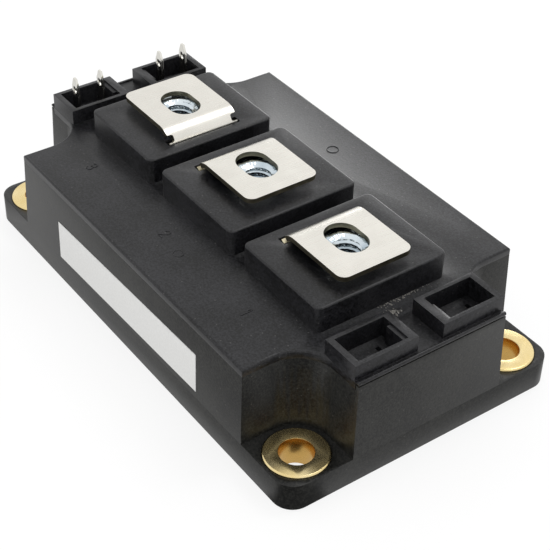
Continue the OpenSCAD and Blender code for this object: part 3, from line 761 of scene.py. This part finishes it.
def slotted_hole():
    """The slotted screw hole in the same flat blank."""
    one = arc((HOLE_AT + HOLE_STRAIGHT, 0), HOLE_R, -90, 90, 24)
    other = arc((HOLE_AT - HOLE_STRAIGHT, 0), HOLE_R, 90, 270, 24)
    return one + other


def on_strip(s, height):
    """Place (x, z) of a point s along the bent strip, height above its middle surface."""
    if s <= BEND_START:
        return PLATE_END - s, PLATE_MID_Z + height
    if s <= BEND_END:
        turn = (s - BEND_START) / BEND_MID_R
        r = BEND_MID_R + height
        return BEND_X - r * math.sin(turn), PLATE_MID_Z - BEND_MID_R + r * math.cos(turn)
    if s <= LEG_END:
        return LEG_MID_X - height, PLATE_MID_Z - BEND_MID_R - (s - BEND_END)
    centre_x, centre_z = LEG_MID_X + FOOT_BEND_R, FOOT_MID_Z + FOOT_BEND_R
    if s <= FOOT_START:
        turn = (s - LEG_END) / FOOT_BEND_R
        r = FOOT_BEND_R + height
        return centre_x - r * math.cos(turn), centre_z - r * math.sin(turn)
    return centre_x + s - FOOT_START, FOOT_MID_Z - height


def sheet_terminal(name, x, side):
    """Triangulates the blank, scores it where it bends, thickens it and bends it to shape."""
    loops = [[Vector((s, y, 0)) for s, y in loop] for loop in (blank_outline(), slotted_hole())]
    blank = bmesh.new()
    corners = [blank.verts.new(point) for loop in loops for point in loop]
    for triangle in geometry.tessellate_polygon(loops):
        blank.faces.new([corners[i] for i in triangle])
    scores = [BEND_START - SCORE_MARGIN, LEG_END - SCORE_MARGIN, FOOT_START + SCORE_MARGIN]
    bends = ((BEND_START, BEND_END, BEND_STEPS), (LEG_END, FOOT_START, FOOT_STEPS))
    for start, end, steps in bends:
        scores += [start + (end - start) * i / steps for i in range(steps + 1)]
    for s in scores:
        every = blank.verts[:] + blank.edges[:] + blank.faces[:]
        bmesh.ops.bisect_plane(blank, geom=every, dist=1e-4, plane_co=(s, 0, 0), plane_no=(1, 0, 0))
    bmesh.ops.recalc_face_normals(blank, faces=blank.faces[:])
    if blank.faces[0].normal.z < 0:
        bmesh.ops.reverse_faces(blank, faces=blank.faces[:])
    blank.verts.index_update()
    verts = []
    for height in (SHEET_T / 2, -SHEET_T / 2):
        for vert in blank.verts:
            along, z = on_strip(vert.co.x, height)
            verts.append((x + side * along, vert.co.y, z))
    count = len(blank.verts)
    faces, kinds = [], []
    for face in blank.faces:
        ids = [v.index for v in face.verts]
        faces += [ids, [i + count for i in reversed(ids)]]
        kinds += [0, 0]
        for loop in face.loops:
            if loop.edge.is_boundary:
                a, b = loop.vert.index, loop.link_loop_next.vert.index
                faces.append([b, a, a + count, b + count])
                kinds.append(1)
    blank.free()
    if side > 0:
        faces = [list(reversed(face)) for face in faces]
    made = new_piece(name, verts, faces, [tin, sheared])
    for face, kind in zip(made.data.polygons, kinds):
        face.material_index = kind
        face.use_smooth = True
    made.data.set_sharp_from_angle(angle=STRIP_SHARP_ANGLE)
    rolled = made.modifiers.new("rolled_edge", "BEVEL")
    rolled.width = ROLLED_EDGE * MM
    rolled.segments = 2
    rolled.limit_method = "ANGLE"
    rolled.angle_limit = ROLLED_ANGLE
    rolled.harden_normals = True
    return made


for number, (x, side) in enumerate(zip(TERMINAL_X, (1, 1, -1)), start=1):
    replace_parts(sheet_terminal(f"sheet_terminal_{number}", x, side), f"terminal_{number}")


# ---------------------------------------------------------------------------------------------
# Signal tabs. Stamped from 0.5 mm brass strip and bright tin plated, so that they mirror the dark
# socket below its rim and the white surroundings above it.
# ---------------------------------------------------------------------------------------------
bright_tin = plated_metal("bright_tin_plate", ("#dcdad2", "#e6e4dd"), (0.06, 0.14), 0.4, 0.15, 2)
for number in range(1, 5):
    finish_node(f"tab_{number}", bright_tin, edge=0.06)


# ---------------------------------------------------------------------------------------------
# Label. A plain strip of coated paper, stuck a little aslant on the case's long side.
# ---------------------------------------------------------------------------------------------
paper = plain_part("label_paper", ("#e2e2e0", "#e8e8e6"), 0.5, 0.4, 0.1)
finish_node("label", paper)
